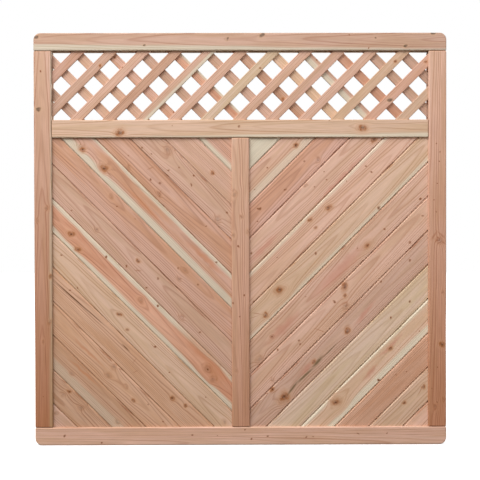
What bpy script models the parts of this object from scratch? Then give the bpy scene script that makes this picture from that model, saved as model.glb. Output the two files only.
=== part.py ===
"""Wooden privacy fence panel, 1.80 m square, in metres with +Z up.

The front of the panel faces -Y. The origin is the middle of its foot: x = 0 on the centre
line, y = 0 halfway through the frame and z = 0 on the underside of the bottom rail.
"""

import math

import bmesh
import bpy
from mathutils import Vector

# Overall size
PANEL_WIDTH = 1.800
PANEL_HEIGHT = 1.800
FRAME_DEPTH = 0.045

# Frame timbers, each measured across its face
RAIL_WIDTH = 0.078
STILE_WIDTH = 0.078
MIDDLE_RAIL_WIDTH = 0.078
MULLION_WIDTH = 0.078
LATTICE_OPENING = 0.300

# Rounding of the panel's four corners and of every edge of the frame timbers
CORNER_RADIUS = 0.030
CORNER_STEPS = 6
FRAME_ROUNDING = 0.005
FRAME_ROUNDING_STEPS = 3

# Groove that runs round both edges of each opening and holds boards and battens
BOARD_THICKNESS = 0.018
FRONT_WALL = 0.010
GROOVE_DEPTH = 0.012

# Mortise and tenon joints of the frame
TENON_LENGTH = 0.040
CORNER_MORTISE_WALL = 0.016

# Boards of one bay, and the strips that show of the boards cut down in its two corners
BOARDS_PER_BAY = 14
BOARD_ANGLE = math.radians(45)
LEFT_FIRST_STRIP = 0.0713
LEFT_LAST_STRIP = 0.1044
RIGHT_FIRST_STRIP = 0.0761
RIGHT_LAST_STRIP = 0.0996

# Tongue and groove of the boards, with a V joint on the front
V_JOINT_CHAMFER = 0.005
BACK_CHAMFER = 0.001
TONGUE_LENGTH = 0.008
TONGUE_THICKNESS = 0.005
TONGUE_TIP_CHAMFER = 0.0008
BOARD_GROOVE_PLAY = 0.001

# Lattice of two layers of battens, spread evenly from one corner of its opening to another
BATTENS_PER_LAYER = 13
CORNER_BATTEN_SETBACK = 0.0829
BATTEN_WIDTH = 0.040
BATTEN_ANGLE = math.radians(45)
BATTEN_ROUNDING = 0.002
BATTEN_ROUNDING_STEPS = 2

# Clearances: between fitted faces, and at the ends where the wood swells and shrinks
FIT = 0.0003
SWELLING_GAP = 0.0015

# Length that a cutter runs on past the wood that it cuts
OVERRUN = 0.010

# Heights and half widths that follow from the sizes above
HALF_WIDTH = PANEL_WIDTH / 2
INNER_X = HALF_WIDTH - STILE_WIDTH
LATTICE_TOP = PANEL_HEIGHT - RAIL_WIDTH
LATTICE_FOOT = LATTICE_TOP - LATTICE_OPENING
BAY_TOP = LATTICE_FOOT - MIDDLE_RAIL_WIDTH
BAY_FOOT = RAIL_WIDTH
HALF_MULLION = MULLION_WIDTH / 2

# Place of the groove through the depth of the frame
GROOVE_WIDTH = BOARD_THICKNESS + 2 * FIT
GROOVE_FRONT = -FRAME_DEPTH / 2 + FRONT_WALL
GROOVE_CENTRE = GROOVE_FRONT + GROOVE_WIDTH / 2
TENON_THICKNESS = GROOVE_WIDTH - 2 * FIT
BATTEN_THICKNESS = (GROOVE_WIDTH - 3 * FIT) / 2

# Colours of the planed wood, as linear RGB
FRAME_COLOUR = (0.61, 0.41, 0.28, 1.0)
BOARD_COLOUR = (0.56, 0.35, 0.23, 1.0)
BATTEN_COLOUR = (0.63, 0.42, 0.28, 1.0)
WOOD_ROUGHNESS = 0.62

LEFT = -1
RIGHT = 1


def empty_scene():
    for old in list(bpy.data.objects):
        bpy.data.objects.remove(old, do_unlink=True)


def new_collection(name):
    collection = bpy.data.collections.new(name)
    bpy.context.scene.collection.children.link(collection)
    return collection


def wood(name, colour):
    material = bpy.data.materials.new(name)
    material.use_nodes = True
    shader = material.node_tree.nodes["Principled BSDF"]
    shader.inputs["Base Color"].default_value = colour
    shader.inputs["Roughness"].default_value = WOOD_ROUGHNESS
    shader.inputs["Metallic"].default_value = 0.0
    return material


def block(name, size, centre, collection):
    """Straight timber of the given size, placed by its centre."""
    mesh = bpy.data.meshes.new(name)
    shape = bmesh.new()
    bmesh.ops.create_cube(shape, size=1.0)
    bmesh.ops.scale(shape, vec=Vector(size), verts=shape.verts)
    shape.to_mesh(mesh)
    shape.free()
    piece = bpy.data.objects.new(name, mesh)
    piece.location = centre
    collection.objects.link(piece)
    return piece


def extruded(name, outline, length, collection):
    """Solid with the given outline in its own XY plane, centred on that plane."""
    curve = bpy.data.curves.new(name, "CURVE")
    curve.dimensions = "2D"
    curve.fill_mode = "NONE"
    curve.extrude = length / 2
    spline = curve.splines.new("POLY")
    spline.points.add(len(outline) - 1)
    for point, (x, y) in zip(spline.points, outline):
        point.co = (x, y, 0.0, 1.0)
    spline.use_cyclic_u = True
    drawing = bpy.data.objects.new(name + "_outline", curve)
    collection.objects.link(drawing)
    depsgraph = bpy.context.evaluated_depsgraph_get()
    mesh = bpy.data.meshes.new_from_object(drawing.evaluated_get(depsgraph))
    bpy.data.objects.remove(drawing, do_unlink=True)
    bpy.data.curves.remove(curve)

    # The curve gives the side walls, and each open end is closed with one flat face
    shape = bmesh.new()
    shape.from_mesh(mesh)
    bmesh.ops.remove_doubles(shape, verts=shape.verts, dist=0.00001)
    rims = [edge for edge in shape.edges if edge.is_boundary]
    bmesh.ops.holes_fill(shape, edges=rims, sides=len(outline))
    bmesh.ops.recalc_face_normals(shape, faces=shape.faces)
    shape.to_mesh(mesh)
    shape.free()
    mesh.name = name
    piece = bpy.data.objects.new(name, mesh)
    collection.objects.link(piece)
    return piece


def as_cutter(piece):
    piece.hide_render = True
    piece.display_type = "WIRE"
    return piece


def combine(piece, tool, operation):
    modifier = piece.modifiers.new(tool.name, "BOOLEAN")
    modifier.operation = operation
    modifier.solver = "EXACT"
    modifier.object = tool


def round_edges(piece, radius, steps):
    modifier = piece.modifiers.new("rounded edges", "BEVEL")
    modifier.width = radius
    modifier.segments = steps
    modifier.limit_method = "ANGLE"
    modifier.angle_limit = math.radians(40)


def round_panel_corners(rail, side):
    """Rounds the two outer corners of a rail: side is 1 for its top, -1 for its foot."""
    shape = bmesh.new()
    shape.from_mesh(rail.data)
    outer = [
        edge
        for edge in shape.edges
        if all(corner.co.z * side > 0 for corner in edge.verts)
        and edge.verts[0].co.x * edge.verts[1].co.x > 0
    ]
    bmesh.ops.bevel(
        shape,
        geom=outer,
        offset=CORNER_RADIUS,
        segments=CORNER_STEPS,
        profile=0.5,
        affect="EDGES",
    )
    shape.to_mesh(rail.data)
    shape.free()


def slot(name, outline, collection):
    """Cutter for a groove and its mortises, drawn as seen from the front of the panel."""
    cutter = extruded(name, outline, GROOVE_WIDTH, collection)
    cutter.rotation_euler = (math.radians(90), 0.0, 0.0)
    cutter.location = (0.0, GROOVE_CENTRE, 0.0)
    return as_cutter(cutter)


def tenon(name, low, high, collection):
    """Tongue on the end of a timber, given by two opposite corners seen from the front."""
    size = (high[0] - low[0], TENON_THICKNESS, high[1] - low[1])
    centre = ((low[0] + high[0]) / 2, GROOVE_CENTRE, (low[1] + high[1]) / 2)
    return as_cutter(block(name, size, centre, collection))


def outer_rail(name, foot, side, parts, cutters):
    """Top rail (side 1) or bottom rail (side -1), laid over the ends of the stiles."""
    centre = (0.0, 0.0, foot + RAIL_WIDTH / 2)
    rail = block(name, (PANEL_WIDTH, FRAME_DEPTH, RAIL_WIDTH), centre, parts)
    round_panel_corners(rail, side)
    round_edges(rail, FRAME_ROUNDING, FRAME_ROUNDING_STEPS)

    # The groove opens on the inner edge, and a mortise deepens it at each stile
    inner_edge = centre[2] - side * RAIL_WIDTH / 2
    mouth = inner_edge - side * OVERRUN
    groove_floor = inner_edge + side * GROOVE_DEPTH
    mortise_floor = inner_edge + side * TENON_LENGTH
    mortise_inside = INNER_X + GROOVE_DEPTH
    mortise_outside = HALF_WIDTH - CORNER_MORTISE_WALL
    outline = [
        (-mortise_outside, mouth),
        (mortise_outside, mouth),
        (mortise_outside, mortise_floor),
        (mortise_inside, mortise_floor),
        (mortise_inside, groove_floor),
    ]
    if side < 0:
        outline += [
            (HALF_MULLION - GROOVE_DEPTH, groove_floor),
            (HALF_MULLION - GROOVE_DEPTH, mortise_floor),
            (-HALF_MULLION + GROOVE_DEPTH, mortise_floor),
            (-HALF_MULLION + GROOVE_DEPTH, groove_floor),
        ]
    outline += [
        (-mortise_inside, groove_floor),
        (-mortise_inside, mortise_floor),
        (-mortise_outside, mortise_floor),
    ]
    combine(rail, slot(name + "_slot", outline, cutters), "DIFFERENCE")
    return rail


def stile(name, side, parts, cutters):
    """Upright at the left (side -1) or right (side 1), between the two outer rails."""
    length = LATTICE_TOP - BAY_FOOT - 2 * FIT
    centre = (side * (HALF_WIDTH - STILE_WIDTH / 2), 0.0, (LATTICE_TOP + BAY_FOOT) / 2)
    upright = block(name, (STILE_WIDTH, FRAME_DEPTH, length), centre, parts)
    round_edges(upright, FRAME_ROUNDING, FRAME_ROUNDING_STEPS)

    # The groove runs out at both ends, and a mortise takes the middle rail
    mouth = side * (INNER_X - OVERRUN)
    groove_floor = side * (INNER_X + GROOVE_DEPTH)
    mortise_floor = side * (INNER_X + TENON_LENGTH)
    outline = [
        (mouth, BAY_FOOT - OVERRUN),
        (groove_floor, BAY_FOOT - OVERRUN),
        (groove_floor, BAY_TOP + GROOVE_DEPTH),
        (mortise_floor, BAY_TOP + GROOVE_DEPTH),
        (mortise_floor, LATTICE_FOOT - GROOVE_DEPTH),
        (groove_floor, LATTICE_FOOT - GROOVE_DEPTH),
        (groove_floor, LATTICE_TOP + OVERRUN),
        (mouth, LATTICE_TOP + OVERRUN),
    ]
    combine(upright, slot(name + "_slot", outline, cutters), "DIFFERENCE")

    # A tenon at each end, from the floor of the groove to the wall of the corner
    edges = sorted(
        (
            side * (INNER_X + GROOVE_DEPTH + FIT),
            side * (HALF_WIDTH - CORNER_MORTISE_WALL - FIT),
        )
    )
    for end, shoulder, way in (("foot", BAY_FOOT, -1), ("head", LATTICE_TOP, 1)):
        tip = shoulder + way * (TENON_LENGTH - FIT)
        root = shoulder - way * OVERRUN
        low = (edges[0], min(tip, root))
        high = (edges[1], max(tip, root))
        combine(upright, tenon(f"{name}_{end}_tenon", low, high, cutters), "UNION")
    return upright


def middle_rail(name, parts, cutters):
    """Rail between the lattice and the boards, tenoned into the two stiles."""
    length = 2 * (INNER_X - FIT)
    centre = (0.0, 0.0, (LATTICE_FOOT + BAY_TOP) / 2)
    rail = block(name, (length, FRAME_DEPTH, MIDDLE_RAIL_WIDTH), centre, parts)
    round_edges(rail, FRAME_ROUNDING, FRAME_ROUNDING_STEPS)

    # Upper groove for the lattice
    run_out = INNER_X + OVERRUN
    lattice_floor = LATTICE_FOOT - GROOVE_DEPTH
    upper = [
        (-run_out, lattice_floor),
        (run_out, lattice_floor),
        (run_out, LATTICE_FOOT + OVERRUN),
        (-run_out, LATTICE_FOOT + OVERRUN),
    ]
    combine(rail, slot(name + "_upper_slot", upper, cutters), "DIFFERENCE")

    # Lower groove for the boards, deepened in the middle for the mullion's tenon
    board_floor = BAY_TOP + GROOVE_DEPTH
    mortise_floor = BAY_TOP + TENON_LENGTH
    half_mortise = HALF_MULLION - GROOVE_DEPTH
    lower = [
        (-run_out, BAY_TOP - OVERRUN),
        (run_out, BAY_TOP - OVERRUN),
        (run_out, board_floor),
        (half_mortise, board_floor),
        (half_mortise, mortise_floor),
        (-half_mortise, mortise_floor),
        (-half_mortise, board_floor),
        (-run_out, board_floor),
    ]
    combine(rail, slot(name + "_lower_slot", lower, cutters), "DIFFERENCE")

    # Tenons as high as the wood left between the two grooves
    for end, side in (("left", LEFT), ("right", RIGHT)):
        reach = sorted((side * (INNER_X - OVERRUN), side * (INNER_X + TENON_LENGTH - FIT)))
        low = (reach[0], board_floor + FIT)
        high = (reach[1], lattice_floor - FIT)
        combine(rail, tenon(f"{name}_{end}_tenon", low, high, cutters), "UNION")
    return rail


def mullion(name, parts, cutters):
    """Upright between the two bays of boards, tenoned into both rails."""
    length = BAY_TOP - BAY_FOOT - 2 * FIT
    centre = (0.0, 0.0, (BAY_TOP + BAY_FOOT) / 2)
    upright = block(name, (MULLION_WIDTH, FRAME_DEPTH, length), centre, parts)
    round_edges(upright, FRAME_ROUNDING, FRAME_ROUNDING_STEPS)

    web = HALF_MULLION - GROOVE_DEPTH
    for end, side in (("left", LEFT), ("right", RIGHT)):
        outline = [
            (side * web, BAY_FOOT - OVERRUN),
            (side * web, BAY_TOP + OVERRUN),
            (side * (HALF_MULLION + OVERRUN), BAY_TOP + OVERRUN),
            (side * (HALF_MULLION + OVERRUN), BAY_FOOT - OVERRUN),
        ]
        combine(upright, slot(f"{name}_{end}_slot", outline, cutters), "DIFFERENCE")

    for end, shoulder, way in (("foot", BAY_FOOT, -1), ("head", BAY_TOP, 1)):
        tip = shoulder + way * (TENON_LENGTH - FIT)
        root = shoulder - way * OVERRUN
        low = (-web + FIT, min(tip, root))
        high = (web - FIT, max(tip, root))
        combine(upright, tenon(f"{name}_{end}_tenon", low, high, cutters), "UNION")
    return upright


def board_profile(cover):
    """Section of a board: x across its width from joint to joint, y from front to back."""
    near = FIT / 2
    far = cover - FIT / 2
    front = -BOARD_THICKNESS / 2
    back = BOARD_THICKNESS / 2
    half_tongue = TONGUE_THICKNESS / 2
    half_tip = half_tongue - TONGUE_TIP_CHAMFER
    tip = far + TONGUE_LENGTH
    half_slot = half_tongue + FIT
    slot_floor = near + TONGUE_LENGTH + BOARD_GROOVE_PLAY
    return [
        (near + V_JOINT_CHAMFER, front),
        (far - V_JOINT_CHAMFER, front),
        (far, front + V_JOINT_CHAMFER),
        (far, -half_tongue),
        (tip - TONGUE_TIP_CHAMFER, -half_tongue),
        (tip, -half_tip),
        (tip, half_tip),
        (tip - TONGUE_TIP_CHAMFER, half_tongue),
        (far, half_tongue),
        (far, back - BACK_CHAMFER),
        (far - BACK_CHAMFER, back),
        (near + BACK_CHAMFER, back),
        (near, back - BACK_CHAMFER),
        (near, half_slot),
        (slot_floor, half_slot),
        (slot_floor, -half_slot),
        (near, -half_slot),
        (near, front + V_JOINT_CHAMFER),
    ]


def bay_of_boards(side, first_strip, last_strip, parts, cutters):
    """Boards of one bay, numbered from its outer bottom corner to its inner top corner."""
    word = "left" if side == LEFT else "right"
    outer = INNER_X + GROOVE_DEPTH - SWELLING_GAP
    inner = HALF_MULLION - GROOVE_DEPTH + SWELLING_GAP
    foot = BAY_FOOT - GROOVE_DEPTH + SWELLING_GAP
    head = BAY_TOP + GROOVE_DEPTH - SWELLING_GAP
    size = (outer - inner, FRAME_DEPTH, head - foot)
    centre = (side * (outer + inner) / 2, 0.0, (head + foot) / 2)
    trim = as_cutter(block(f"{word}_bay_trim", size, centre, cutters))

    # Boards rise outwards, and their tongues point up and towards the mullion
    across = Vector((-side * math.sin(BOARD_ANGLE), 0.0, math.cos(BOARD_ANGLE)))
    along = Vector((side * math.cos(BOARD_ANGLE), 0.0, math.sin(BOARD_ANGLE)))
    turn = math.atan2(-across.z, across.x)
    corner = Vector((side * INNER_X, GROOVE_CENTRE, BAY_FOOT))
    far_corner = Vector((side * HALF_MULLION, GROOVE_CENTRE, BAY_TOP))
    spread = (far_corner - corner).dot(across)
    middle = (corner + far_corner) / 2
    reach = (outer - inner) * math.cos(BOARD_ANGLE) + (head - foot) * math.sin(BOARD_ANGLE)

    # Whole boards share what the two corner strips leave
    cover = (spread - first_strip - last_strip) / (BOARDS_PER_BAY - 2)
    boards = []
    for number in range(BOARDS_PER_BAY):
        name = f"{word}_board_{number + 1:02d}"
        board = extruded(name, board_profile(cover), reach + 2 * OVERRUN, parts)
        start = corner + across * (first_strip + (number - 1) * cover)
        board.location = start + along * (middle - start).dot(along)
        board.rotation_euler = (0.0, turn, 0.0)
        combine(board, trim, "INTERSECT")
        boards.append(board)
    return boards


def layer_of_battens(word, lean, depth, parts, trim):
    """One layer of the lattice: lean is 1 where the battens rise to the right."""
    along = Vector((lean * math.cos(BATTEN_ANGLE), 0.0, math.sin(BATTEN_ANGLE)))
    across = Vector((math.sin(BATTEN_ANGLE), 0.0, -lean * math.cos(BATTEN_ANGLE)))
    centre = Vector((0.0, depth, (LATTICE_TOP + LATTICE_FOOT) / 2))
    reach = (trim.dimensions.z + BATTEN_WIDTH) / math.sin(BATTEN_ANGLE)
    corner_distance = INNER_X * abs(across.x) + LATTICE_OPENING / 2 * abs(across.z)
    steps_from_middle = (BATTENS_PER_LAYER - 1) / 2
    pitch = (corner_distance - CORNER_BATTEN_SETBACK) / steps_from_middle

    battens = []
    for number in range(BATTENS_PER_LAYER):
        name = f"lattice_{word}_{number + 1:02d}"
        size = (BATTEN_WIDTH, BATTEN_THICKNESS, reach + 2 * OVERRUN)
        offset = (number - steps_from_middle) * pitch / across.x
        batten = block(name, size, centre + Vector((offset, 0.0, 0.0)), parts)
        batten.rotation_euler = (0.0, math.atan2(along.x, along.z), 0.0)
        round_edges(batten, BATTEN_ROUNDING, BATTEN_ROUNDING_STEPS)
        combine(batten, trim, "INTERSECT")
        battens.append(batten)
    return battens


def lattice(parts, cutters):
    """Front layer rising to the right over a back layer rising to the left."""
    reach = INNER_X + GROOVE_DEPTH - SWELLING_GAP
    height = LATTICE_OPENING + 2 * (GROOVE_DEPTH - SWELLING_GAP)
    centre = (0.0, 0.0, (LATTICE_TOP + LATTICE_FOOT) / 2)
    trim = as_cutter(block("lattice_trim", (2 * reach, FRAME_DEPTH, height), centre, cutters))
    bpy.context.view_layer.update()
    front_depth = GROOVE_FRONT + FIT + BATTEN_THICKNESS / 2
    back_depth = front_depth + BATTEN_THICKNESS + FIT
    front = layer_of_battens("front", 1, front_depth, parts, trim)
    back = layer_of_battens("back", -1, back_depth, parts, trim)
    return front + back


def finish(pieces, colour):
    for piece in pieces:
        piece.data.materials.append(wood(piece.name + "_wood", colour))


def build():
    empty_scene()
    parts = new_collection("privacy_fence_panel")
    cutters = new_collection("cutters")
    frame = [
        outer_rail("top_rail", LATTICE_TOP, 1, parts, cutters),
        outer_rail("bottom_rail", 0.0, -1, parts, cutters),
        stile("left_stile", LEFT, parts, cutters),
        stile("right_stile", RIGHT, parts, cutters),
        middle_rail("middle_rail", parts, cutters),
        mullion("centre_mullion", parts, cutters),
    ]
    boards = bay_of_boards(LEFT, LEFT_FIRST_STRIP, LEFT_LAST_STRIP, parts, cutters)
    boards += bay_of_boards(RIGHT, RIGHT_FIRST_STRIP, RIGHT_LAST_STRIP, parts, cutters)
    battens = lattice(parts, cutters)
    finish(frame, FRAME_COLOUR)
    finish(boards, BOARD_COLOUR)
    finish(battens, BATTEN_COLOUR)


build()
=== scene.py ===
"""Looks of a privacy fence panel in planed Douglas fir: wood, light, floor and camera.

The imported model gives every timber. This script finishes each one in its own piece of wood, adds
the small steel fasteners on the back, and sets up a plain studio. Lengths are in metres unless a
name or a comment says millimetres. X runs along the panel, Y to its back and Z up.
"""

import math

import bpy
from mathutils import Matrix, Vector


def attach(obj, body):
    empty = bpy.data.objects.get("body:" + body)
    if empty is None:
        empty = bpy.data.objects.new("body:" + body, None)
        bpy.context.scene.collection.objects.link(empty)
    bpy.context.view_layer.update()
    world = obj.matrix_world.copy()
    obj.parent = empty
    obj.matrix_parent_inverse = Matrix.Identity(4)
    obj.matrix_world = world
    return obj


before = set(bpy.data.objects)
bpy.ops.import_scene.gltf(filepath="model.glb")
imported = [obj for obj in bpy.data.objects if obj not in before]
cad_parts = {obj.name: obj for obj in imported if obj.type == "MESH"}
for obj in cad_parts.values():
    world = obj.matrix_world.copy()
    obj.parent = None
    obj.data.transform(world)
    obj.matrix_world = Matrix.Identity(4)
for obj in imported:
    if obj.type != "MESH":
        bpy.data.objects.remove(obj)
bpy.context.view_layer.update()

MM = 0.001


# Wood tones: early wood, the second early tone that clouds it, and late wood, as sRGB codes

TONES = {
    "rosy": ("#D2AD99", "#C8A38A", "#A5735A"),
    "salmon": ("#D2A995", "#C8997C", "#A06E55"),
    "rose": ("#D2A998", "#C8997F", "#A06E57"),
    "amber": ("#D2AB90", "#C89D7D", "#A06E50"),
    "orange": ("#D7A78D", "#C89275", "#A06446"),
    "deep_rosy": ("#D2A990", "#C39477", "#966950"),
    "pale": ("#CDA995", "#C39E85", "#A5785F"),
    "tan": ("#D2B29B", "#C8A88C", "#AA8060"),
    "grey": ("#D2B8A4", "#C8AF92", "#AA8768"),
}
STRAW_EARLY = "#D7CDB9"
STRAW_LATE = "#C3B396"

# Knots from the heart outwards, and the other marks. End grain tints the wood under it, and painted
# shade darkens and reddens the foot of an upright.

SOUND_KNOT = ((0.0, "#462810"), (0.10, "#643A1E"), (0.22, "#9B6037"), (0.28, "#85512D"),
              (0.34, "#B4794B"), (0.40, "#9B663F"), (0.46, "#C8966E"), (0.54, "#B07B55"),
              (0.62, "#CDA07D"))
DEAD_KNOT = ((0.0, "#3E3024"), (0.18, "#6A5542"), (0.28, "#4C3A2A"), (0.36, "#A3805F"),
             (0.48, "#C2A083"))
PIN_KNOT = ((0.0, "#55301A"), (0.25, "#7D492B"), (0.45, "#AA7450"))
ROSY_FLAME = "#BE7D69"
ORANGE_FLAME = "#BE7B52"
SCAR = "#A0694A"
CRACK = "#643F24"
RESIN = "#735E42"
END_GRAIN = "#C79C77"
# Painted shade at the foot of an upright: this tint darkens and reddens it where the light falls off
FOOT_SHADE = "#DFBC9F"

# Every timber: its tone and how light it is, its pith (how deep behind the face and how far off the
# middle, in mm) and how far the pith leans, in degrees, and its sapwood edges in mm (lower, upper).
# The taper is how much wider the lower sapwood gets along the timber, in mm for each metre, the
# paleness how strongly sapwood stands out, and the painted foot shade how dark the foot of an
# upright is. A sound knot, a faint one just under the face, a dead one or a pin knot is x, z and
# radius in mm. A flame of deeper heartwood, a scar, crack or streak of resin is x, z, length and
# width in mm, and how far it is turned from lying level, in degrees. Flames are rosy unless their
# colour is given.

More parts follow.
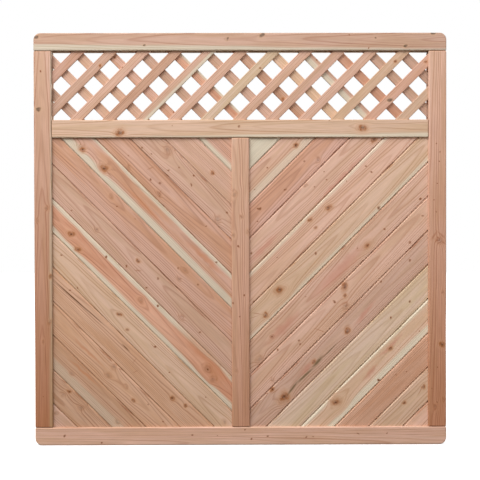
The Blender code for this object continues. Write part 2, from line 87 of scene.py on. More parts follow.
TIMBERS = {
    "top_rail": dict(
        tone="rosy", taper=-13, straw=(14, 0), light=0.85, pith=(46, 10), lean=-1.3,
        dead=[(-885, 1783, 7), (-415, 1750, 4), (-55, 1770, 5), (95, 1787, 8), (720, 1745, 6),
              (590, 1780, 4), (840, 1797, 7)],
        pins=[(475, 1790, 2), (560, 1730, 2)],
    ),
    "middle_rail": dict(
        tone="tan", taper=10, straw=(6, 0), pith=(38, 8), lean=-1.2,
        knots=[(-525, 1365, 13), (532, 1385, 13)],
        pins=[(-297, 1398, 2), (390, 1417, 2), (-3, 1393, 3)],
    ),
    "bottom_rail": dict(
        tone="rosy", light=1.15, pith=(30, -30), lean=0.9,
        pins=[(-212, 44, 3), (-103, 42, 2), (18, 66, 3), (48, 28, 3), (114, 41, 3), (284, 36, 3),
              (317, 33, 2), (515, 51, 3), (639, 50, 2), (-606, 12, 3), (-770, 43, 3)],
    ),
    "left_stile": dict(
        tone="rosy", taper=-6, light=0.95, straw=(4, 0), pith=(36, 4), lean=1.4, foot_shade=1.0,
        knots=[(-832, 740, 6)],
        faint=[(-840, 1040, 7), (-885, 980, 7), (-833, 540, 8), (-860, 455, 6)],
        dead=[(-879, 1467, 9)], pins=[(-869, 1634, 3), (-864, 214, 2)],
    ),
    "right_stile": dict(
        tone="rosy", light=1.05, pith=(60, 40), lean=-0.7, foot_shade=0.9,
        knots=[(880, 437, 10)],
        faint=[(868, 895, 14), (847, 167, 10), (887, 194, 8), (885, 665, 7)],
        pins=[(852, 1318, 3), (866, 1242, 2), (859, 1142, 2), (846, 1072, 2), (857, 1016, 2),
              (858, 338, 2), (839, 246, 2), (857, 185, 2), (870, 1279, 2)],
        scars=[(846, 915, 60, 12, -55), (880, 917, 60, 12, 42), (888, 884, 30, 10, 40)],
    ),
    "centre_mullion": dict(
        tone="rosy", light=1.05, pith=(50, 30), lean=1.0, foot_shade=0.6,
        faint=[(-26, 1096, 10), (5, 998, 7), (-33, 923, 7), (27, 932, 7), (-22, 327, 6)],
        pins=[(-9, 867, 3), (18, 657, 3), (-31, 619, 3), (-6, 561, 3)],
    ),
    "left_board_01": dict(tone="pale", light=1.05, pith=(30, 30), faint=[(-810, 140, 7)]),
    "left_board_02": dict(
        tone="amber", light=0.9, pith=(60, -20), lean=1.0,
        knots=[(-755, 235, 7)], faint=[(-780, 220, 8), (-705, 165, 11)],
    ),
    "left_board_03": dict(
        tone="amber", straw=(32, 0), paleness=0.4, light=0.9, pith=(34, 30),
        faint=[(-540, 100, 8), (-742, 312, 7)],
        flames=[(-686, 316, 220, 16, 42)], flame=ORANGE_FLAME,
    ),
    "left_board_04": dict(
        tone="amber", pith=(55, 10), lean=1.5,
        knots=[(-470, 195, 7)], faint=[(-555, 340, 10), (-580, 307, 11), (-500, 257, 7)],
        pins=[(-410, 178, 2), (-340, 100, 3)],
        flames=[(-670, 410, 230, 16, 45)], flame=ORANGE_FLAME,
    ),
    "left_board_05": dict(
        tone="amber", pith=(60, 50), lean=0.8, knots=[(-300, 202, 8), (-242, 172, 6)],
        pins=[(-751, 677, 3)],
        cracks=[(-735, 648, 300, 8, 42), (-640, 565, 140, 5, 43), (-503, 427, 60, 6, 45)],
        scars=[(-461, 322, 36, 5, -28), (-465, 370, 40, 4, -55)],
    ),
    "left_board_06": dict(
        tone="tan", light=1.05, pith=(52, -6), lean=-1.6,
        knots=[(-530, 572, 8), (-495, 507, 5)], faint=[(-70, 100, 8)],
        pins=[(-785, 832, 3), (-713, 689, 3), (-400, 508, 2), (-376, 427, 4), (-318, 317, 2),
              (-158, 209, 2)],
        scars=[(-385, 435, 40, 5, 50)],
    ),
    "left_board_07": dict(
        tone="orange", straw=(15, 11), pith=(40, 4), lean=1.6,
        knots=[(-743, 928, 11), (-712, 858, 10)],
        faint=[(-434, 634, 11), (-142, 332, 17), (-120, 290, 14)],
        pins=[(-587, 822, 4), (-364, 609, 3), (-142, 332, 3)],
        flames=[(-163, 409, 380, 100, 45), (-110, 330, 200, 90, 45)], flame=ORANGE_FLAME,
    ),
    "left_board_08": dict(
        tone="rosy", light=0.95, pith=(58, 20), lean=-1.3,
        knots=[(-448, 809, 7)], faint=[(-632, 944, 8), (-258, 557, 11)],
        pins=[(-736, 1029, 2), (-500, 780, 4), (-364, 728, 4), (-413, 687, 3), (-178, 490, 3)],
        scars=[(-449, 765, 40, 9, 5)],
    ),
    "left_board_09": dict(
        tone="salmon", light=0.95, pith=(70, 30),
        faint=[(-565, 1090, 9), (-244, 763, 9), (-270, 731, 8)],
        pins=[(-542, 1047, 3), (-461, 990, 2), (-271, 770, 3), (-184, 700, 3)],
    ),
    "left_board_10": dict(
        tone="salmon", straw=(25, 8), light=0.95, pith=(50, 24), lean=-1.1,
        knots=[(-692, 1292, 9), (-595, 1212, 11)], faint=[(-697, 1307, 13), (-600, 1218, 16)],
        pins=[(-105, 800, 3)], scars=[(-575, 1190, 60, 8, 50)],
        flames=[(-416, 1044, 340, 24, 45), (-153, 815, 270, 34, 43)], flame=ORANGE_FLAME,
    ),
    "left_board_11": dict(
        tone="salmon", light=0.95, pith=(64, 12), lean=1.0,
        faint=[(-358, 1100, 10), (-485, 1216, 7)],
        pins=[(-489, 1268, 2), (-391, 1165, 3), (-353, 1149, 4), (-358, 1093, 3), (-152, 961, 2)],
        scars=[(-392, 1213, 42, 7, -22), (-350, 1108, 30, 5, -60)],
    ),
    "left_board_12": dict(
        tone="rosy", light=0.95, pith=(48, 0), lean=1.7, faint=[(-317, 1290, 15), (-99, 989, 12)],
        pins=[(-433, 1303, 3), (-387, 1270, 2), (-316, 1202, 3), (-267, 1215, 2), (-202, 1182, 3),
              (-215, 1138, 3), (-60, 1019, 3)],
    ),
    "left_board_13": dict(
        tone="rosy", pith=(26, 60), lean=0.6, knots=[(-119, 1191, 6)], pins=[(-153, 1314, 4)],
    ),
    "left_board_14": dict(tone="salmon", straw=(14, 0), light=0.95, pith=(40, 40)),
    "right_board_01": dict(tone="rosy", light=1.25, pith=(50, 20)),
    "right_board_02": dict(
        tone="tan", light=1.1, pith=(60, 0), knots=[(720, 183, 6), (802, 251, 7)],
        scars=[(788, 232, 60, 6, -60)],
    ),
    "right_board_03": dict(
        tone="deep_rosy", light=1.1, pith=(24, 60), lean=0.8, pins=[(685, 304, 2), (731, 316, 2)],
    ),
    "right_board_04": dict(
        tone="tan", straw=(20, 4), light=1.15, pith=(44, 16), lean=1.0,
        knots=[(655, 419, 6), (416, 185, 11)], faint=[(416, 185, 18)],
        pins=[(785, 493, 2), (606, 282, 4)],
        flames=[(570, 316, 110, 28, -48), (658, 433, 170, 22, -45)],
    ),
    "right_board_05": dict(
        tone="grey", light=1.1, pith=(80, 0), lean=1.0, pins=[(741, 626, 3), (658, 552, 3)],
        scars=[(412, 322, 70, 3, -45)],
    ),
    "right_board_06": dict(
        tone="rosy", light=0.95, pith=(52, 10), lean=-1.4,
        knots=[(466, 499, 10), (189, 208, 14), (319, 363, 7), (137, 241, 7)],
        faint=[(189, 200, 20)],
        resin=[(390, 410, 130, 7, -45), (338, 362, 90, 20, -48), (282, 302, 140, 14, -43),
               (228, 247, 110, 14, -53)],
        pins=[(743, 807, 4), (615, 714, 3)], scars=[(150, 232, 60, 6, -35)],
        flames=[(288, 336, 120, 36, -50), (546, 574, 180, 28, -52)],
    ),
    "right_board_07": dict(
        tone="rosy", light=1.1, pith=(62, 24), knots=[(456, 692, 10), (461, 651, 6)],
        faint=[(460, 604, 13), (139, 281, 7)],
        pins=[(797, 1003, 4), (743, 883, 4), (410, 625, 4), (254, 455, 3), (259, 439, 3),
              (165, 413, 3)],
        scars=[(350, 500, 70, 6, 20), (452, 705, 40, 12, 80)],
    ),
    "right_board_08": dict(
        tone="rosy", light=1.05, pith=(50, 0), lean=-1.5,
        knots=[(555, 873, 8)], faint=[(555, 873, 15), (140, 474, 10), (80, 373, 15)],
        pins=[(787, 1074, 4), (633, 943, 4), (289, 645, 2), (140, 474, 3), (510, 862, 2)],
        flames=[(430, 760, 420, 70, -45), (186, 511, 240, 50, -45)],
    ),
    "right_board_09": dict(
        tone="tan", straw=(9, 0), paleness=0.65, light=1.05, pith=(42, 4), lean=1.5,
        knots=[(169, 678, 11), (109, 568, 9)], faint=[(169, 678, 19)],
        pins=[(611, 1036, 5), (328, 837, 4)], scars=[(72, 575, 60, 6, 10), (60, 560, 60, 4, -20)],
    ),
    "right_board_10": dict(
        tone="rosy", straw=(0, 6), paleness=0.6, light=1.1, pith=(54, -20), lean=1.3,
        knots=[(387, 1037, 10), (306, 986, 6), (331, 950, 5)],
        pins=[(553, 1219, 3), (574, 1193, 3), (465, 1152, 2), (160, 821, 2), (59, 628, 4)],
    ),
    "right_board_11": dict(
        tone="rosy", light=1.05, pith=(70, 26), lean=-1.0, knots=[(582, 1333, 9)],
        faint=[(285, 1138, 8)],
        pins=[(365, 1201, 2), (381, 1157, 2), (325, 1128, 2), (45, 839, 4)],
        flames=[(440, 1161, 420, 28, -45), (98, 859, 220, 32, -45)],
    ),
    "right_board_12": dict(
        tone="rose", pith=(66, 0), faint=[(340, 1244, 11)],
        pins=[(278, 1244, 3), (197, 1119, 4), (84, 1035, 5), (74, 976, 2)],
    ),
    "right_board_13": dict(
        tone="rosy", straw=(26, 0), paleness=0.5, light=1.04, pith=(56, 20), knots=[(243, 1311, 8)],
        pins=[(118, 1213, 3), (64, 1117, 2)],
    ),
    "right_board_14": dict(tone="grey", straw=(60, 60), light=0.95, pith=(50, 60)),
    "lattice_front_01": dict(tone="salmon", light=0.9),
    "lattice_front_02": dict(tone="rosy", light=0.9, knots=[(-609, 1658, 5)]),
    "lattice_front_03": dict(tone="rosy", pins=[(-513, 1650, 2)]),
    "lattice_front_04": dict(tone="deep_rosy", light=0.85),
    "lattice_front_05": dict(tone="rosy", straw=(10, 0), light=0.95),
    "lattice_front_06": dict(tone="rosy"),
    "lattice_front_07": dict(tone="grey", pins=[(90, 1650, 3)]),
    "lattice_front_08": dict(tone="rosy", pins=[(49, 1464, 2)]),
    "lattice_front_09": dict(tone="rosy", light=0.95),
    "lattice_front_10": dict(tone="rosy"),
    "lattice_front_11": dict(tone="tan", knots=[(677, 1677, 5)]),
    "lattice_front_12": dict(tone="salmon", dead=[(656, 1509, 6)], knots=[(810, 1673, 5)]),
    "lattice_front_13": dict(tone="tan", light=0.95),
    "lattice_back_01": dict(tone="rosy", light=0.85),
    "lattice_back_02": dict(tone="pale", light=1.1),
    "lattice_back_03": dict(tone="rosy", light=1.05),
    "lattice_back_04": dict(tone="salmon", knots=[(-551, 1698, 5)], pins=[(-291, 1459, 3)]),
    "lattice_back_05": dict(tone="rosy", light=0.9),
    "lattice_back_06": dict(tone="orange", straw=(0, 8), light=0.95),
    "lattice_back_07": dict(tone="rosy", light=0.95),
    "lattice_back_08": dict(tone="deep_rosy", light=0.9, knots=[(188, 1511, 7)]),
    "lattice_back_09": dict(tone="tan", light=1.15),
    "lattice_back_10": dict(tone="pale", light=0.95, straw=(20, 0), pins=[(338, 1685, 3)]),
    "lattice_back_11": dict(tone="orange", light=0.9),
    "lattice_back_12": dict(tone="rosy", light=0.9),
    "lattice_back_13": dict(tone="rosy", light=0.85),
}


# The grain: the sizes of its waves, fibres and clouds along the grain, into the timber and across
# the grain, and how far waves move it into the timber and across. The finest real fibres are too
# thin to show, so these are coarser. Noise is one half on average, so whatever it moves is brought
# back by half of its reach.

WAVE_SIZE = (625 * MM, 111 * MM, 111 * MM)
FIBRE_SIZE = (111 * MM, 3.85 * MM, 3.85 * MM)
CLOUD_SIZE = (455 * MM, 41.7 * MM, 41.7 * MM)
WAVE_DEPTH = 14 * MM
WAVE_WIDTH = 10 * MM

# Growth rings, round a pith that runs on far past both ends. Good and poor years follow each other
# over some 22 mm, and rings with dark and faint edges over some 9 mm. The profile of a ring gives
# how much late wood there is, from its start to its end.

PITH_LENGTH = 1000.0
RING_WIDTH = 5.0 * MM
GOOD_YEARS = 22 * MM
DARK_YEARS = 9 * MM
RING_PROFILE = ((0.0, 0.25), (0.08, 0.0), (0.6, 0.05), (0.88, 1.0), (0.95, 1.0), (1.0, 0.25))

# Sapwood: how far fibres fray its border, and how softly it starts inside and outside that border

SAPWOOD_FRAY = 14 * MM
SAPWOOD_INSIDE = 9 * MM
SAPWOOD_OUTSIDE = 4 * MM

# Knots are a little longer along the grain, run right through the timber, and have lumpy, ragged
# outlines. Their colours end within three radii. Fine lines are frayed less.

KNOT_STRETCH = 1.3
KNOT_REACH = 3.0
THROUGH = 10.0
LUMP_SIZE = 32 * MM
LUMP_HEIGHT = 16 * MM
RAG_SIZE = 12 * MM
RAG_HEIGHT = 6 * MM
FRAY_HEIGHT = 1.5 * MM


def linear(code, light=1.0):
    """An sRGB colour code as the linear colour that a shader takes, made lighter or darker."""
    parts = [int(code[at : at + 2], 16) / 255 for at in (1, 3, 5)]
    parts = [c / 12.92 if c <= 0.04045 else ((c + 0.055) / 1.055) ** 2.4 for c in parts]
    return (*(min(1.0, c * light) for c in parts), 1.0)


def add(tree, kind, sockets=None, stops=None, **settings):
    """Adds one shader node with its settings. A socket takes a value or another node's output."""
    made = tree.nodes.new("ShaderNode" + kind)
    for name, value in settings.items():
        setattr(made, name, value)
    for name, value in (sockets or {}).items():
        if isinstance(value, bpy.types.NodeSocket):
            tree.links.new(value, made.inputs[name])
        else:
            made.inputs[name].default_value = value
    if stops:
        ramp = made.color_ramp
        while len(ramp.elements) < len(stops):
            ramp.elements.new(0.5)
        for element, (place, colour) in zip(ramp.elements, stops):
            element.position = place
            element.color = colour
    return made.outputs


def repeats(sizes):
    """How often a pattern of these sizes repeats in a metre, each way."""
    return [1 / size for size in sizes]


def grey_stops(profile):
    """A profile of places and heights as the stops of a colour ramp."""
    return [(place, (height, height, height, 1)) for place, height in profile]


def grain_turn(name):
    """How far a timber is turned about Y from lying level: rails 0, uprights -90, boards 45."""
    if name.endswith("_rail"):
        return 0.0
    if name.startswith(("left_board", "lattice_back")):
        return math.radians(45)
    if name.startswith(("right_board", "lattice_front")):
        return math.radians(-45)
    return math.radians(-90)


def front_face(name, turn):
    """The middle of a timber's front face, half its length and half its width across the grain."""
    along = Vector((math.cos(turn), 0, -math.sin(turn)))
    across = Vector((math.sin(turn), 0, math.cos(turn)))
    corners = [vertex.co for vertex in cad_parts[name].data.vertices]
    front = min(corner.y for corner in corners)
    corners = [corner for corner in corners if corner.y < front + 1 * MM]
    lengths = [corner.dot(along) for corner in corners]
    widths = [corner.dot(across) for corner in corners]
    half_length = (max(lengths) - min(lengths)) / 2
    half_width = (max(widths) - min(widths)) / 2
    middle = along * (max(lengths) + min(lengths)) / 2 + across * (max(widths) + min(widths)) / 2
    middle.y = front
    return middle, half_length, half_width


def ragged_places(tree, place):
    """The place moved about for knots and, less, for fine lines, and how solid a knot looks."""
    rags = add(tree, "TexNoise", {"Vector": place, "Scale": 1 / RAG_SIZE, "Detail": 2.0})
    lumps = add(tree, "TexNoise", {"Vector": place, "Scale": 1 / LUMP_SIZE, "Detail": 0.0})
    uneven = add(tree, "VectorMath", {0: rags["Color"], 1: (RAG_HEIGHT,) * 3, 2: place},
                 operation="MULTIPLY_ADD")["Vector"]
    uneven = add(tree, "VectorMath", {0: lumps["Color"], 1: (LUMP_HEIGHT,) * 3, 2: uneven},
                 operation="MULTIPLY_ADD")["Vector"]
    uneven = add(tree, "VectorMath", {0: uneven, 1: ((RAG_HEIGHT + LUMP_HEIGHT) / 2,) * 3},
                 operation="SUBTRACT")["Vector"]
    frayed = add(tree, "VectorMath", {0: rags["Color"], 1: (FRAY_HEIGHT,) * 3, 2: place},
                 operation="MULTIPLY_ADD")["Vector"]
    solid = add(tree, "MapRange", {"Value": rags[0], "From Min": 0.35, "From Max": 0.62,
                                   "To Min": 0.55, "To Max": 1.0})[0]
    return uneven, frayed, solid


def spots(tree, place, turn, marks):
    """Distance to the nearest mark, in mark sizes, and each mark's own pattern with its size.

    Each mark is twisted its own way, by up to 35 degrees, so that no two lie alike.
    """
    nearest = None
    patterns = []
    for x, z, size in marks:
        twist = math.radians((7 * x + 13 * z) % 70 - 35)
        spot = add(
            tree, "Mapping",
            {"Vector": place, "Location": (x * MM, 0, z * MM), "Rotation": (0, turn + twist, 0),
             "Scale": (KNOT_STRETCH * size * MM, THROUGH, size * MM)},
            vector_type="TEXTURE",
        )["Vector"]
        away = add(tree, "VectorMath", {0: spot}, operation="LENGTH")["Value"]
        patterns.append((spot, away, size * MM))
        if nearest is None:
            nearest = away
        else:
            nearest = add(tree, "Math", {0: nearest, 1: away}, operation="MINIMUM")[0]
    return nearest, patterns


def grain_round_knots(tree, patterns):
    """How far knots push the grain aside, and how much the rings swell round them."""
    pushed = 0.0
    swollen = 0.0
    for spot, away, size in patterns:
        reach = add(tree, "Math", {0: away, 1: away, 2: 1.0}, operation="MULTIPLY_ADD")[0]
        pull = add(tree, "Math", {0: -size, 1: reach}, operation="DIVIDE")[0]
        side = add(tree, "SeparateXYZ", {0: spot})["Z"]
        pushed = add(tree, "Math", {0: side, 1: pull, 2: pushed}, operation="MULTIPLY_ADD")[0]
        swollen = add(tree, "Math", {0: swollen, 1: pull}, operation="ADD")[0]
    return pushed, swollen


def drawn_lines(tree, place, lines):
    """How strongly long thin marks show. Each of them tapers towards its ends."""
    shows = 0.0
    for x, z, length, width, lie in lines:
        line = add(
            tree, "Mapping",
            {"Vector": place, "Location": (x * MM, 0, z * MM),
             "Rotation": (0, math.radians(lie), 0),
             "Scale": (length / 2 * MM, THROUGH, width / 2 * MM)},
            vector_type="TEXTURE",
        )["Vector"]
        away = add(tree, "VectorMath", {0: line}, operation="LENGTH")["Value"]
        near = add(tree, "MapRange", {"Value": away, "From Min": 0.3, "From Max": 1.0,
                                      "To Min": 1.0, "To Max": 0.0})[0]
        shows = add(tree, "Math", {0: shows, 1: near}, operation="MAXIMUM")[0]
    return shows


def growth_rings(tree, grain, swollen, pith, lean):
    """How much late wood shows: little in a ring's pale part, all of it at the dark outer edge."""
    depth, across = pith
    pith_line = add(
        tree, "Mapping",
        {"Vector": grain,
         "Location": (0, depth * MM + WAVE_DEPTH / 2, across * MM + WAVE_WIDTH / 2),
         "Rotation": (0, 0, math.radians(lean)), "Scale": (PITH_LENGTH, 1.0, 1.0)},
        vector_type="TEXTURE",
    )["Vector"]
    radius = add(tree, "VectorMath", {0: pith_line}, operation="LENGTH")["Value"]
    radius = add(tree, "Math", {0: swollen, 1: 0.8, 2: radius}, operation="MULTIPLY_ADD")[0]
    good = add(tree, "TexNoise", {"W": radius, "Scale": 1 / GOOD_YEARS, "Detail": 1.0},
               noise_dimensions="1D")[0]
    good = add(tree, "Math", {0: good, 1: 1.5}, operation="MULTIPLY")[0]
    years = add(tree, "Math", {0: radius, 1: 1 / RING_WIDTH, 2: good},
                operation="MULTIPLY_ADD")[0]
    year = add(tree, "Math", {0: years}, operation="FRACT")[0]
    late = add(tree, "ValToRGB", {0: year}, stops=grey_stops(RING_PROFILE))["Color"]
    dark = add(tree, "TexNoise", {"W": radius, "Scale": 1 / DARK_YEARS, "Detail": 0.0},
               noise_dimensions="1D")[0]
    dark = add(tree, "MapRange", {"Value": dark, "From Min": 0.3, "From Max": 0.7,
                                  "To Min": 0.2, "To Max": 1.0})[0]
    late = add(tree, "Math", {0: late, 1: dark}, operation="MULTIPLY")[0]

    # Over the pith the cut runs along the rings, which blurs and weakens their edges
    cut = add(tree, "SeparateXYZ", {0: pith_line})["Y"]
    cut = add(tree, "Math", {0: cut, 1: radius}, operation="DIVIDE")[0]
    cut = add(tree, "Math", {0: cut}, operation="ABSOLUTE")[0]
    cut = add(tree, "MapRange", {"Value": cut, "From Min": 0.9, "From Max": 1.0,
                                 "To Min": 1.0, "To Max": 0.45})[0]
    return add(tree, "Math", {0: late, 1: cut}, operation="MULTIPLY")[0]


def heartwood(tree, grain, shift, late, tone, light):
    """Heartwood: early wood clouded in two tones, and late wood."""
    clouds = add(tree, "Mapping", {"Vector": grain, "Location": shift,
                                   "Scale": repeats(CLOUD_SIZE)})["Vector"]
    clouds = add(tree, "TexNoise", {"Vector": clouds, "Scale": 1.0, "Detail": 3.0,
                                    "Roughness": 0.6})[0]
    clouds = add(tree, "MapRange", {"Value": clouds, "From Min": 0.4, "From Max": 0.6})[0]
    first, second, last = [linear(code, light) for code in TONES[tone]]
    early = add(tree, "Mix", {0: clouds, 6: first, 7: second}, data_type="RGBA")[2]
    return add(tree, "Mix", {0: late, 6: early, 7: last}, data_type="RGBA")[2]


def sapwood_cover(tree, level, along, straw, half_width, taper, paleness):
    """How strongly straw sapwood shows along the lower and the upper edge, where they have it."""
    lower, upper = straw
    drift = add(tree, "Math", {0: along, 1: -taper * MM}, operation="MULTIPLY")[0]
    tapered = add(tree, "Math", {0: level, 1: drift}, operation="ADD")[0]
    covers = []
    for band, side, height in ((lower, -1, tapered), (upper, 1, level)):
        if band:
            border = side * (half_width - band * MM) + SAPWOOD_FRAY / 2 + WAVE_WIDTH / 2
            covers.append(add(tree, "MapRange", {
                "Value": height, "From Min": border - side * SAPWOOD_INSIDE,
                "From Max": border + side * SAPWOOD_OUTSIDE, "To Max": paleness,
            }, interpolation_type="SMOOTHSTEP")[0])
    return covers


def planed_douglas_fir(name, seed, tone, light=1.0, straw=(0, 0), pith=(40, 20), lean=1.2,
                       paleness=0.85, taper=0.0, foot_shade=0.0, knots=(), faint=(), dead=(), pins=(),
                       flames=(), flame=ROSY_FLAME, scars=(), cracks=(), resin=()):
    """Planed, untreated Douglas fir: satin, with rings cut lengthwise, sapwood, knots and fibres.

    Growth rings are tubes round a pith line that lies behind the face and leans a little, so the
    face shows arches over the pith and straight lines beside it, and the ends show arcs.
    """
    made = bpy.data.materials.new("planed_douglas_fir_" + name)
    made.use_nodes = True
    tree = made.node_tree
    turn = grain_turn(name)
    middle, half_length, half_width = front_face(name, turn)
    # Each timber's noise starts elsewhere, so that no two show the same grain
    shift = (seed * 3.7, seed * 1.9, seed * 5.3)

    coordinates = add(tree, "TexCoord")
    place = coordinates["Object"]
    laid = add(tree, "Mapping", {"Vector": place, "Location": middle, "Rotation": (0, turn, 0)},
               vector_type="TEXTURE")["Vector"]
    along = add(tree, "SeparateXYZ", {0: laid})["X"]

    # Knots, and the grain they push aside
    uneven, frayed, solid = ragged_places(tree, place)
    knot_near, knot_patterns = spots(tree, uneven, turn, knots)
    faint_near, faint_patterns = spots(tree, uneven, turn, faint)
    dead_near, dead_patterns = spots(tree, uneven, turn, dead)
    pin_near = spots(tree, uneven, turn, pins)[0]
    pushed, swollen = grain_round_knots(tree, knot_patterns + faint_patterns + dead_patterns)

    # Wandering grain
    waves = add(tree, "Mapping", {"Vector": laid, "Location": shift,
                                  "Scale": repeats(WAVE_SIZE)})["Vector"]
    waves = add(tree, "TexNoise", {"Vector": waves, "Scale": 1.0, "Detail": 2.0})["Color"]
    grain = add(tree, "VectorMath", {0: waves, 1: (0, WAVE_DEPTH, WAVE_WIDTH), 2: laid},
                operation="MULTIPLY_ADD")["Vector"]
    pushed = add(tree, "CombineXYZ", {"Z": pushed})[0]
    grain = add(tree, "VectorMath", {0: grain, 1: pushed}, operation="ADD")["Vector"]

    # Rings, and fibres with finer ones inside them
    late = growth_rings(tree, grain, swollen, pith, lean)
    fibres = add(tree, "Mapping", {"Vector": grain, "Location": shift,
                                   "Scale": repeats(FIBRE_SIZE)})["Vector"]
    fibres = add(tree, "TexNoise", {"Vector": fibres, "Scale": 1.0, "Detail": 4.0,
                                    "Roughness": 0.65})[0]

    # Heartwood, then straw sapwood along the edges that have it
    wood = heartwood(tree, grain, shift, late, tone, light)
    if any(straw):
        level = add(tree, "SeparateXYZ", {0: grain})["Z"]
        level = add(tree, "Math", {0: fibres, 1: SAPWOOD_FRAY, 2: level},
                    operation="MULTIPLY_ADD")[0]
        sapwood = add(tree, "Mix", {0: late, 6: linear(STRAW_EARLY, light),
                                    7: linear(STRAW_LATE, light)}, data_type="RGBA")[2]
        for cover in sapwood_cover(tree, level, along, straw, half_width, taper, paleness):
            wood = add(tree, "Mix", {0: cover, 6: wood, 7: sapwood}, data_type="RGBA")[2]

    # Fibres are lighter and darker streaks
    shade = add(tree, "MapRange", {"Value": fibres, "From Min": 0.25, "From Max": 0.75,
                                   "To Min": 0.86, "To Max": 1.1})[0]
    wood = add(tree, "VectorMath", {0: wood, "Scale": shade}, operation="SCALE")["Vector"]

    # Flames of deeper heartwood
    if flames:
        shows = drawn_lines(tree, uneven, flames)
        shows = add(tree, "Math", {0: shows, 1: 0.5}, operation="MULTIPLY")[0]
        wood = add(tree, "Mix", {0: shows, 6: wood, 7: linear(flame)}, data_type="RGBA")[2]

    # Painted shade: the foot of an upright is made darker and redder, where the light falls off
    # downwards
    if foot_shade:
        foot = add(tree, "MapRange", {"Value": along, "From Min": -half_length,
                                      "From Max": half_length, "To Min": foot_shade, "To Max": 0.0})[0]
        wood = add(tree, "Mix", {0: foot, 6: wood, 7: linear(FOOT_SHADE)}, data_type="RGBA",
                   blend_type="MULTIPLY")[2]

    # Knots, from the widest kind to the smallest: where they are near, their colours, how far they
    # reach as a share of KNOT_REACH, and how much they cover
    for near, colours, reach, most in (
        (faint_near, SOUND_KNOT, 0.9, 0.4), (knot_near, SOUND_KNOT, 0.9, 1.0),
        (dead_near, DEAD_KNOT, 0.8, 1.0), (pin_near, PIN_KNOT, 0.6, 1.0),
    ):
        if near is not None:
            near = add(tree, "Math", {0: near, 1: KNOT_REACH}, operation="DIVIDE")[0]
            colour = add(tree, "ValToRGB", {0: near},
                         stops=[(at, linear(code)) for at, code in colours])["Color"]
            cover = add(tree, "ValToRGB", {0: near}, stops=grey_stops(
                [(0.0, most), (0.33, 0.9 * most), (0.46, 0.4 * most), (reach, 0.0)]))["Color"]
            cover = add(tree, "Math", {0: cover, 1: solid}, operation="MULTIPLY")[0]
            wood = add(tree, "Mix", {0: cover, 6: wood, 7: colour}, data_type="RGBA")[2]

    # Scars, cracks and resin, and how strongly each shows
    for lines, code, most in ((scars, SCAR, 0.6), (cracks, CRACK, 1.0), (resin, RESIN, 0.9)):
        if lines:
            shows = drawn_lines(tree, frayed, lines)
            shows = add(tree, "Math", {0: shows, 1: most}, operation="MULTIPLY")[0]
            wood = add(tree, "Mix", {0: shows, 6: wood, 7: linear(code)}, data_type="RGBA")[2]

    # End grain drinks light, so the sawn ends are darker
    grain_way = (math.cos(turn), 0, -math.sin(turn))
    facing = add(tree, "VectorMath", {0: coordinates["Normal"], 1: grain_way},
                 operation="DOT_PRODUCT")["Value"]
    facing = add(tree, "Math", {0: facing}, operation="ABSOLUTE")[0]
    ends = add(tree, "MapRange", {"Value": facing, "From Min": 0.45, "From Max": 0.95})[0]
    wood = add(tree, "Mix", {0: ends, 6: wood, 7: linear(END_GRAIN)}, data_type="RGBA",
               blend_type="MULTIPLY")[2]

    # Satin from the planer: late wood is a little smoother and stands a hair proud
    rough = add(tree, "MapRange", {"Value": late, "To Min": 0.7, "To Max": 0.58})[0]
    relief = add(tree, "Math", {0: late, 1: 0.5, 2: fibres}, operation="MULTIPLY_ADD")[0]
    relief = add(tree, "Bump", {"Height": relief, "Strength": 0.35,
                                "Distance": 0.3 * MM})["Normal"]
    shader = tree.nodes["Principled BSDF"]
    shader.inputs["Specular IOR Level"].default_value = 0.15
    tree.links.new(wood, shader.inputs["Base Color"])
    tree.links.new(rough, shader.inputs["Roughness"])
    tree.links.new(relief, shader.inputs["Normal"])
    return made


# Battens are ripped so that the rings meet their faces squarely, which gives fine straight lines

BATTEN_PITH = (26, 44)
BATTEN_LEAN = 0.6

for seed, name in enumerate(sorted(TIMBERS), start=1):
    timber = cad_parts[name]
    looks = TIMBERS[name]
    if name.startswith("lattice"):
        looks = dict(looks, pith=BATTEN_PITH, lean=BATTEN_LEAN)
    timber.data.materials.clear()
    timber.data.materials.append(planed_douglas_fir(name, seed, **looks))


# Fasteners on the back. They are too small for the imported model, and hold the real panel together.
# They are modelled lying at the origin with their backs to +Y, and sit a hair deep in the wood.

HEAD_RADIUS = 6.0 * MM
HEAD_HEIGHT = 1.6 * MM
HEAD_EASE = 0.8 * MM
HEAD_SIDES = 36
SOCKET_RADIUS = 2.6 * MM
SOCKET_DEPTH = 1.2 * MM
SOCKET_LOBES = 6

CROWN = 11.0 * MM
WIRE_WIDTH = 1.3 * MM
WIRE_HEIGHT = 0.7 * MM
WIRE_EASE = 0.15 * MM
LEG = 6.0 * MM

SUNK = 0.1 * MM
TOUCHING = 0.01 * MM
IN_TENON = 20 * MM
NEAR_FRAME = 12 * MM
SMOOTH_BELOW = math.radians(35)


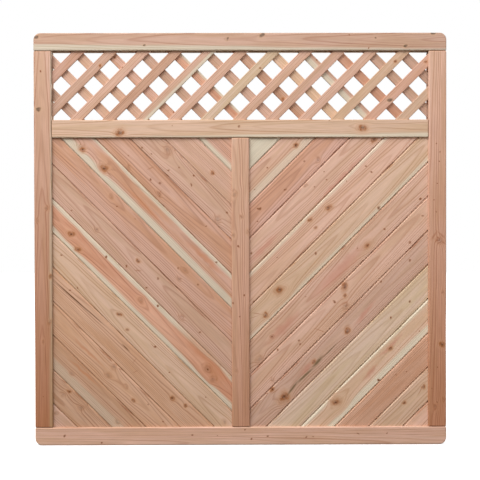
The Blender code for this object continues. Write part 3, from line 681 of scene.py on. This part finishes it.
def steel(name, code, roughness, mottle, relief):
    """Bare steel: metallic, its gloss broken by fine marks whose spacing in mm is the mottle.

    Real marks are finer still, so these are drawn as coarse as they need to be to soften a glint.
    """
    made = bpy.data.materials.new(name)
    made.use_nodes = True
    tree = made.node_tree
    place = add(tree, "TexCoord")["Object"]
    marks = add(tree, "TexNoise", {"Vector": place, "Scale": 1 / (mottle * MM), "Detail": 2.0})[0]
    rough = add(tree, "MapRange", {"Value": marks, "From Min": 0.3, "From Max": 0.7,
                                   "To Min": roughness - 0.08, "To Max": roughness + 0.1})[0]
    shade = add(tree, "MapRange", {"Value": marks, "From Min": 0.3, "From Max": 0.7,
                                   "To Min": 0.85, "To Max": 1.0})[0]
    tint = add(tree, "VectorMath", {0: linear(code)[:3], "Scale": shade},
               operation="SCALE")["Vector"]
    dents = add(tree, "Bump", {"Height": marks, "Strength": 0.3,
                               "Distance": relief * MM})["Normal"]
    shader = tree.nodes["Principled BSDF"]
    shader.inputs["Metallic"].default_value = 1.0
    tree.links.new(tint, shader.inputs["Base Color"])
    tree.links.new(rough, shader.inputs["Roughness"])
    tree.links.new(dents, shader.inputs["Normal"])
    return made


def box_of(name):
    """The lowest and highest corner of a timber."""
    corners = [vertex.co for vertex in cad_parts[name].data.vertices]
    return (Vector([min(corner[axis] for corner in corners) for axis in range(3)]),
            Vector([max(corner[axis] for corner in corners) for axis in range(3)]))


def pick(piece, test):
    """Selects, in edit mode, the faces whose middle and normal pass a test."""
    bpy.ops.object.mode_set(mode="EDIT")
    bpy.ops.mesh.select_mode(type="FACE")
    bpy.ops.mesh.select_all(action="DESELECT")
    bpy.ops.object.mode_set(mode="OBJECT")
    for face in piece.data.polygons:
        face.select = test(face.center, face.normal)
    bpy.ops.object.mode_set(mode="EDIT")


def copied(pattern, name, place):
    """A copy of a piece with its own mesh, moved to its place."""
    piece = pattern.copy()
    piece.name = name
    piece.data = pattern.data.copy()
    piece.data.transform(Matrix.Translation(place))
    bpy.context.collection.objects.link(piece)
    return piece


def screw_head():
    """A low round head, eased round its crown, with a six-lobed socket."""
    bpy.ops.object.select_all(action="DESELECT")
    bpy.ops.mesh.primitive_cylinder_add(
        vertices=HEAD_SIDES, radius=HEAD_RADIUS, depth=HEAD_HEIGHT,
        location=(0, HEAD_HEIGHT / 2, 0), rotation=(math.radians(-90), 0, 0),
    )
    screw = bpy.context.object
    screw.name = "screw_pattern"
    bpy.ops.object.transform_apply(location=True, rotation=True)
    pick(screw, lambda middle, normal: normal.y > 0.9)
    bpy.ops.mesh.bevel(offset=HEAD_EASE, segments=3, affect="EDGES")
    bpy.ops.object.mode_set(mode="OBJECT")
    pick(screw, lambda middle, normal: normal.y > 0.99 and middle.y > HEAD_HEIGHT - TOUCHING)
    bpy.ops.mesh.inset(thickness=HEAD_RADIUS - HEAD_EASE - SOCKET_RADIUS, depth=0)
    bpy.ops.object.mode_set(mode="OBJECT")
    socket_top = next(face for face in screw.data.polygons if face.select)
    for corner in socket_top.vertices:
        point = screw.data.vertices[corner].co
        lobes = 0.9 + 0.12 * math.cos(SOCKET_LOBES * math.atan2(point.z, point.x))
        point.x *= lobes
        point.z *= lobes
    bpy.ops.object.mode_set(mode="EDIT")
    bpy.ops.mesh.extrude_region_move(TRANSFORM_OT_translate={"value": (0, -SOCKET_DEPTH, 0)})
    bpy.ops.object.mode_set(mode="OBJECT")
    bpy.ops.object.shade_smooth_by_angle(angle=SMOOTH_BELOW)
    # Stainless steel, turned: bright and smooth, with a fine grain that softens its glints
    screw.data.materials.append(steel("turned_stainless_steel", "#AFABA4", 0.4, 1.5, 0.05))
    return screw


def screw_places():
    """X and Z of each screw that locks a tenon, by its name."""
    places = {}
    low, high = box_of("middle_rail")
    rail_height = (low.z + high.z) / 2
    rail_ends = {"left": low.x + IN_TENON, "right": high.x - IN_TENON}
    for side, rail_end in rail_ends.items():
        low, high = box_of(side + "_stile")
        places[side + "_top"] = ((low.x + high.x) / 2, high.z - IN_TENON)
        places[side + "_foot"] = ((low.x + high.x) / 2, low.z + IN_TENON)
        places[side + "_middle"] = (rail_end, rail_height)
    low, high = box_of("centre_mullion")
    places["centre_top"] = ((low.x + high.x) / 2, high.z - IN_TENON)
    places["centre_foot"] = ((low.x + high.x) / 2, low.z + IN_TENON)
    return places


def wire_staple():
    """A staple of flat wire lying along X, its crown on the wood and its legs in it."""
    bpy.ops.object.select_all(action="DESELECT")
    bpy.ops.mesh.primitive_cube_add(size=1.0, location=(0, WIRE_HEIGHT / 2, 0),
                                    scale=(CROWN, WIRE_HEIGHT, WIRE_WIDTH))
    staple = bpy.context.object
    staple.name = "staple_pattern"
    bpy.ops.object.transform_apply(location=True, scale=True)
    bend = CROWN / 2 - WIRE_HEIGHT
    for end in (-1, 1):
        bpy.ops.object.mode_set(mode="EDIT")
        bpy.ops.mesh.select_all(action="SELECT")
        bpy.ops.mesh.bisect(plane_co=(end * bend, 0, 0), plane_no=(1, 0, 0))
        bpy.ops.object.mode_set(mode="OBJECT")
    pick(staple, lambda middle, normal: normal.y < -0.9 and abs(middle.x) > bend)
    bpy.ops.mesh.extrude_region_move(TRANSFORM_OT_translate={"value": (0, -LEG, 0)})
    bpy.ops.mesh.select_all(action="SELECT")
    bpy.ops.mesh.bevel(offset=WIRE_EASE, segments=1, affect="EDGES")
    bpy.ops.object.mode_set(mode="OBJECT")
    bpy.ops.object.shade_smooth_by_angle(angle=SMOOTH_BELOW)
    # Galvanised steel wire: pale grey zinc, dull and finely mottled
    staple.data.materials.append(steel("galvanised_steel_wire", "#A9ACAD", 0.45, 2.0, 0.08))
    return staple


def crossings():
    """X and Z of each crossing of two battens that lies clear of the frame."""
    left = box_of("left_stile")[1].x + NEAR_FRAME
    right = box_of("right_stile")[0].x - NEAR_FRAME
    lowest = box_of("middle_rail")[1].z + NEAR_FRAME
    highest = box_of("top_rail")[0].z - NEAR_FRAME
    middles = {layer: [front_face(name, grain_turn(name))[0]
                       for name in sorted(TIMBERS) if name.startswith(layer)]
               for layer in ("lattice_back", "lattice_front")}
    places = []
    for falls in middles["lattice_back"]:
        for rises in middles["lattice_front"]:
            x = ((rises.x - rises.z) + (falls.x + falls.z)) / 2
            z = ((falls.x + falls.z) - (rises.x - rises.z)) / 2
            if left < x < right and lowest < z < highest:
                places.append((x, z))
    return places


screw = screw_head()
back = box_of("top_rail")[1].y
for name, (x, z) in screw_places().items():
    piece = copied(screw, "tenon_screw_" + name, (x, back - SUNK, z))
    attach(piece, "root")
bpy.data.objects.remove(screw)

staple = wire_staple()
back = box_of("lattice_back_01")[1].y
staples = [copied(staple, "staple", (x, back - SUNK, z)) for x, z in crossings()]
bpy.ops.object.select_all(action="DESELECT")
for piece in staples:
    piece.select_set(True)
bpy.context.view_layer.objects.active = staples[0]
bpy.ops.object.join()
staples = bpy.context.object
staples.name = "lattice_staples"
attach(staples, "root")
bpy.data.objects.remove(staple)


# Studio: a pale floor that shows white to the camera and still takes the panel's shadow. Its glow
# is weak under the panel, so that the shadow shows there, and full white further out.

FLOOR_RADIUS = 14.0
FLOOR_GAP = 0.2 * MM
GLOW_UNDER_PANEL = 0.3
GLOW_FROM = 0.8
GLOW_FULL_AT = 2.4
AIR_COLOUR = (1.0, 0.97, 0.94, 1)
AIR_STRENGTH = 0.21


def seen_directly(tree):
    """1 for what camera and mirrors see, which is white, and 0 for what lights the panel."""
    ray = add(tree, "LightPath")
    return add(tree, "Math", {0: ray["Is Camera Ray"], 1: ray["Is Glossy Ray"]},
               operation="MAXIMUM")[0]


bpy.ops.object.select_all(action="DESELECT")
bpy.ops.mesh.primitive_circle_add(vertices=96, radius=FLOOR_RADIUS, fill_type="NGON",
                                  location=(0, 0, -FLOOR_GAP))
floor = bpy.context.object
floor.name = "studio_floor"
bpy.ops.object.transform_apply(location=True)
paint = bpy.data.materials.new("matt_white_floor")
paint.use_nodes = True
tree = paint.node_tree
tree.nodes.clear()
dim = add(tree, "BsdfDiffuse", {"Color": linear("#5E4C3F")})[0]
pale = add(tree, "BsdfDiffuse", {"Color": linear("#E8E8E8")})[0]
from_middle = add(tree, "TexCoord")["Object"]
from_middle = add(tree, "VectorMath", {0: from_middle}, operation="LENGTH")["Value"]
glow = add(tree, "MapRange", {"Value": from_middle, "From Min": GLOW_FROM,
                              "From Max": GLOW_FULL_AT, "To Min": GLOW_UNDER_PANEL,
                              "To Max": 1.0})[0]
glow = add(tree, "Emission", {"Color": (1, 1, 1, 1), "Strength": glow})[0]
white = add(tree, "AddShader", {0: pale, 1: glow})[0]
mixed = add(tree, "MixShader", {0: seen_directly(tree), 1: dim, 2: white})[0]
add(tree, "OutputMaterial", {"Surface": mixed})
floor.data.materials.append(paint)

world = bpy.data.worlds.new("studio_air")
bpy.context.scene.world = world
world.use_nodes = True
tree = world.node_tree
tree.nodes.clear()
air = add(tree, "Background", {"Color": AIR_COLOUR, "Strength": AIR_STRENGTH})[0]
backdrop = add(tree, "Background", {"Color": (1, 1, 1, 1), "Strength": 1.0})[0]
mixed = add(tree, "MixShader", {0: seen_directly(tree), 1: air, 2: backdrop})[0]
add(tree, "OutputWorld", {"Surface": mixed})

# Lights: a high, long soft box on the left that brings out the V joints, a low fill on the right,
# and a broad soft box behind, so that the back is lit as plainly as the front

SOFT_BOXES = {
    "key_light": dict(place=(-3.5, -2.9, 5.5), aim=(0, 0, 1.2), size=(5.5, 1.5), energy=565),
    "fill_light": dict(place=(1.5, -3.4, 3.0), aim=(0, 0, 1.2), size=(2.6, 2.6), energy=65),
    "back_light": dict(place=(2.6, 4.4, 2.6), aim=(0, 0, 0.9), size=(3.0, 3.0), energy=360),
}
for name, box in SOFT_BOXES.items():
    place = Vector(box["place"])
    turn = (Vector(box["aim"]) - place).to_track_quat("-Z", "Y").to_euler()
    bpy.ops.object.light_add(type="AREA", location=place, rotation=turn)
    light = bpy.context.object
    light.name = name
    light.data.shape = "RECTANGLE"
    light.data.size, light.data.size_y = box["size"]
    light.data.energy = box["energy"]

# Camera: at the photograph's distance, height and turn

CAMERA_PLACE = (-0.0131, -3.0, 0.9251)
CAMERA_YAW = math.radians(-0.206)
CAMERA_PITCH = math.radians(-0.537)
CAMERA_ROLL = math.radians(0.131)
LENS_MM = 51.166
SENSOR_MM = 36.0

aim = (
    Matrix.Rotation(CAMERA_YAW, 4, "Z")
    @ Matrix.Rotation(math.radians(90) + CAMERA_PITCH, 4, "X")
    @ Matrix.Rotation(-CAMERA_ROLL, 4, "Z")
)
bpy.ops.object.camera_add(location=CAMERA_PLACE, rotation=aim.to_euler())
camera = bpy.context.object
camera.data.lens = LENS_MM
camera.data.sensor_width = SENSOR_MM
bpy.context.scene.camera = camera
bpy.context.scene.view_settings.view_transform = "Standard"
